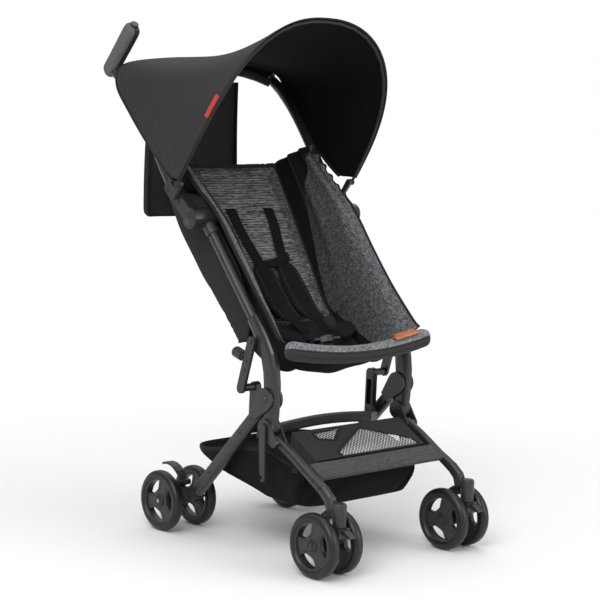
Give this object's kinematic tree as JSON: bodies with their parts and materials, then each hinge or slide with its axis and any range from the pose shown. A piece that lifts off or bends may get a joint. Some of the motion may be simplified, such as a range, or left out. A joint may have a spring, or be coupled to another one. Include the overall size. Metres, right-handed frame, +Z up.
{
  "type": "folding stroller",
  "caption": "Compact folding stroller with sling seat, arched fabric canopy, twin-wheel casters, storage basket and flip-down push handles.",
  "frame": {"origin": "on the floor under the middle of the whole stroller, between its sides and between its foremost and rearmost points", "axes": "+Z up; the seat faces -Y and the push handles are towards +Y; X runs across, side _r at -X"},
  "size_m": [0.4752, 0.7218, 1.0203],
  "materials": {
    "satin_black_alloy": "satin powder coat, soft sheen",
    "black_plastic": "moulded, fine matt grain",
    "zinc_steel": "bright zinc plate",
    "black_tyre": "matt solid tyre on a plastic hub",
    "grey_grip_foam": "soft matt foam",
    "black_fabric": "plain woven polyester",
    "grey_melange_fabric": "melange weave with light flecks",
    "light_grey_net": "open knitted net"
  },
  "bodies": {
    "frame": {"main_tube_r": "satin_black_alloy", "main_tube_l": "satin_black_alloy", "hinge_housing_r": "black_plastic", "hinge_housing_l": "black_plastic", "side_member_r": "satin_black_alloy", "side_member_l": "satin_black_alloy", "seat_sling": "grey_melange_fabric", "seat_lip": "grey_melange_fabric", "rear_cover": "black_fabric", "shoulder_strap_r": "black_fabric", "shoulder_strap_l": "black_fabric", "harness_buckle": "black_plastic", "basket": "black_fabric", "basket_net": "light_grey_net"},
    "push_handles": {"push_tube_r": "satin_black_alloy", "push_tube_l": "satin_black_alloy", "grip_r": "grey_grip_foam", "grip_l": "grey_grip_foam", "canopy_clip_r": "black_plastic", "canopy_clip_l": "black_plastic", "rear_bar": "black_plastic", "rear_flap": "black_fabric"},
    "canopy": {"canopy_bow": "black_plastic", "canopy_fabric": "black_fabric"},
    "rear_legs": {"rear_leg_r": "satin_black_alloy", "rear_leg_l": "satin_black_alloy", "rear_axle_housing_r": "black_plastic", "rear_axle_housing_l": "black_plastic", "rear_axle_r": "zinc_steel", "rear_axle_l": "zinc_steel"},
    "upper_links": {"upper_link_r": "satin_black_alloy", "upper_link_l": "satin_black_alloy"},
    "lower_links": {"lower_link_r": "satin_black_alloy", "lower_link_l": "satin_black_alloy", "cross_band": "black_plastic"},
    "lock_knob": {"lock_knob": "black_plastic"},
    "front_legs": {"front_leg_r": "satin_black_alloy", "front_leg_l": "satin_black_alloy", "caster_housing_r": "black_plastic", "caster_housing_l": "black_plastic", "footrest_strip": "black_plastic"},
    "buckle_button": {"buckle_button": "black_plastic"},
    "caster_r": {"caster_fork_r": "black_plastic"},
    "swivel_lock_r": {"swivel_lock_r": "black_plastic"},
    "brake_pedal_r": {"brake_pedal_r": "black_plastic"},
    "storage_latch_r": {"storage_latch_r": "black_plastic"},
    "fold_button_r": {"fold_button_r": "black_plastic"},
    "wheel_front_inner_r": {"wheel_front_inner_r": "black_tyre"},
    "wheel_front_outer_r": {"wheel_front_outer_r": "black_tyre"},
    "wheel_rear_inner_r": {"wheel_rear_inner_r": "black_tyre"},
    "wheel_rear_outer_r": {"wheel_rear_outer_r": "black_tyre"},
    "caster_l": {"caster_fork_l": "black_plastic"},
    "swivel_lock_l": {"swivel_lock_l": "black_plastic"},
    "brake_pedal_l": {"brake_pedal_l": "black_plastic"},
    "storage_latch_l": {"storage_latch_l": "black_plastic"},
    "fold_button_l": {"fold_button_l": "black_plastic"},
    "wheel_front_inner_l": {"wheel_front_inner_l": "black_tyre"},
    "wheel_front_outer_l": {"wheel_front_outer_l": "black_tyre"},
    "wheel_rear_inner_l": {"wheel_rear_inner_l": "black_tyre"},
    "wheel_rear_outer_l": {"wheel_rear_outer_l": "black_tyre"}
  },
  "joints": [
    {"name": "frame_fold", "type": "hinge", "parent": "frame", "child": "rear_legs", "pos_m": [0, -0.1303, 0.304], "axis": [1, 0, 0], "range_deg": [0, 58], "deforming": ["basket", "basket_net"]},
    {"name": "front_fold", "type": "hinge", "parent": "frame", "child": "front_legs", "pos_m": [0, -0.1323, 0.25], "axis": [1, 0, 0], "range_deg": [0, 55]},
    {"name": "strut_top", "type": "hinge", "parent": "frame", "child": "upper_links", "pos_m": [0, -0.0943, 0.409], "axis": [1, 0, 0], "range_deg": [0, 66]},
    {"name": "strut_foot", "type": "hinge", "parent": "rear_legs", "child": "lower_links", "pos_m": [0, -0.06558, 0.23666], "axis": [1, 0, 0], "range_deg": [-92, 0]},
    {"name": "push_fold", "type": "hinge", "parent": "frame", "child": "push_handles", "pos_m": [0, 0.0662, 0.631], "axis": [1, 0, 0], "range_deg": [0, 150]},
    {"name": "canopy_fold", "type": "hinge", "parent": "push_handles", "child": "canopy", "pos_m": [0, 0.0892, 0.6956], "axis": [1, 0, 0], "range_deg": [-64, 0], "deforming": ["canopy_fabric"]},
    {"name": "lock_knob_turn", "type": "hinge", "parent": "upper_links", "child": "lock_knob", "pos_m": [-0.19, -0.08404, 0.37404], "axis": [0, 0.9595, 0.2816], "range_deg": [0, 90]},
    {"name": "buckle_press", "type": "slide", "parent": "frame", "child": "buckle_button", "axis": [0, -0.3401, -0.9404], "range_m": [0, 0.0025], "stiffness_N_per_m": 900},
    {"name": "caster_swivel_r", "type": "hinge", "parent": "front_legs", "child": "caster_r", "pos_m": [-0.1716, -0.3247, 0.0985], "axis": [0, 0, 1], "continuous": true},
    {"name": "swivel_lock_tilt_r", "type": "hinge", "parent": "caster_r", "child": "swivel_lock_r", "pos_m": [-0.1716, -0.3437, 0.0905], "axis": [1, 0, 0], "range_deg": [0, 18]},
    {"name": "brake_press_r", "type": "hinge", "parent": "rear_legs", "child": "brake_pedal_r", "pos_m": [-0.167, 0.1347, 0.094], "axis": [1, 0, 0], "range_deg": [-20, 0]},
    {"name": "storage_latch_turn_r", "type": "hinge", "parent": "frame", "child": "storage_latch_r", "pos_m": [-0.1912, -0.1323, 0.25], "axis": [1, 0, 0], "range_deg": [0, 40]},
    {"name": "fold_button_press_r", "type": "slide", "parent": "push_handles", "child": "fold_button_r", "axis": [0, 0.6575, -0.7534], "range_m": [0, 0.004], "stiffness_N_per_m": 900},
    {"name": "wheel_front_inner_r_spin", "type": "hinge", "parent": "caster_r", "child": "wheel_front_inner_r", "pos_m": [-0.1422, -0.2921, 0.0605], "axis": [1, 0, 0], "continuous": true},
    {"name": "wheel_front_outer_r_spin", "type": "hinge", "parent": "caster_r", "child": "wheel_front_outer_r", "pos_m": [-0.201, -0.2921, 0.0605], "axis": [1, 0, 0], "continuous": true},
    {"name": "wheel_rear_inner_r_spin", "type": "hinge", "parent": "rear_legs", "child": "wheel_rear_inner_r", "pos_m": [-0.1243, 0.1487, 0.0605], "axis": [1, 0, 0], "continuous": true},
    {"name": "wheel_rear_outer_r_spin", "type": "hinge", "parent": "rear_legs", "child": "wheel_rear_outer_r", "pos_m": [-0.2095, 0.1487, 0.0605], "axis": [1, 0, 0], "continuous": true},
    {"name": "caster_swivel_l", "type": "hinge", "parent": "front_legs", "child": "caster_l", "pos_m": [0.1716, -0.3247, 0.0985], "axis": [0, 0, 1], "continuous": true},
    {"name": "swivel_lock_tilt_l", "type": "hinge", "parent": "caster_l", "child": "swivel_lock_l", "pos_m": [0.1716, -0.3437, 0.0905], "axis": [1, 0, 0], "range_deg": [0, 18]},
    {"name": "brake_press_l", "type": "hinge", "parent": "rear_legs", "child": "brake_pedal_l", "pos_m": [0.167, 0.1347, 0.094], "axis": [1, 0, 0], "range_deg": [-20, 0]},
    {"name": "storage_latch_turn_l", "type": "hinge", "parent": "frame", "child": "storage_latch_l", "pos_m": [0.1912, -0.1323, 0.25], "axis": [1, 0, 0], "range_deg": [0, 40]},
    {"name": "fold_button_press_l", "type": "slide", "parent": "push_handles", "child": "fold_button_l", "axis": [0, 0.6575, -0.7534], "range_m": [0, 0.004], "stiffness_N_per_m": 900},
    {"name": "wheel_front_inner_l_spin", "type": "hinge", "parent": "caster_l", "child": "wheel_front_inner_l", "pos_m": [0.1422, -0.2921, 0.0605], "axis": [1, 0, 0], "continuous": true},
    {"name": "wheel_front_outer_l_spin", "type": "hinge", "parent": "caster_l", "child": "wheel_front_outer_l", "pos_m": [0.201, -0.2921, 0.0605], "axis": [1, 0, 0], "continuous": true},
    {"name": "wheel_rear_inner_l_spin", "type": "hinge", "parent": "rear_legs", "child": "wheel_rear_inner_l", "pos_m": [0.1243, 0.1487, 0.0605], "axis": [1, 0, 0], "continuous": true},
    {"name": "wheel_rear_outer_l_spin", "type": "hinge", "parent": "rear_legs", "child": "wheel_rear_outer_l", "pos_m": [0.2095, 0.1487, 0.0605], "axis": [1, 0, 0], "continuous": true}
  ],
  "couplings": [
    {"joint": "front_fold", "follows": "frame_fold", "ratio": 0.91667},
    {"joint": "strut_top", "follows": "frame_fold", "ratio": 1.0965},
    {"joint": "strut_foot", "follows": "frame_fold", "ratio": -1.5222},
    {"joint": "canopy_fold", "follows": "push_fold", "ratio": -0.42667}
  ]
}
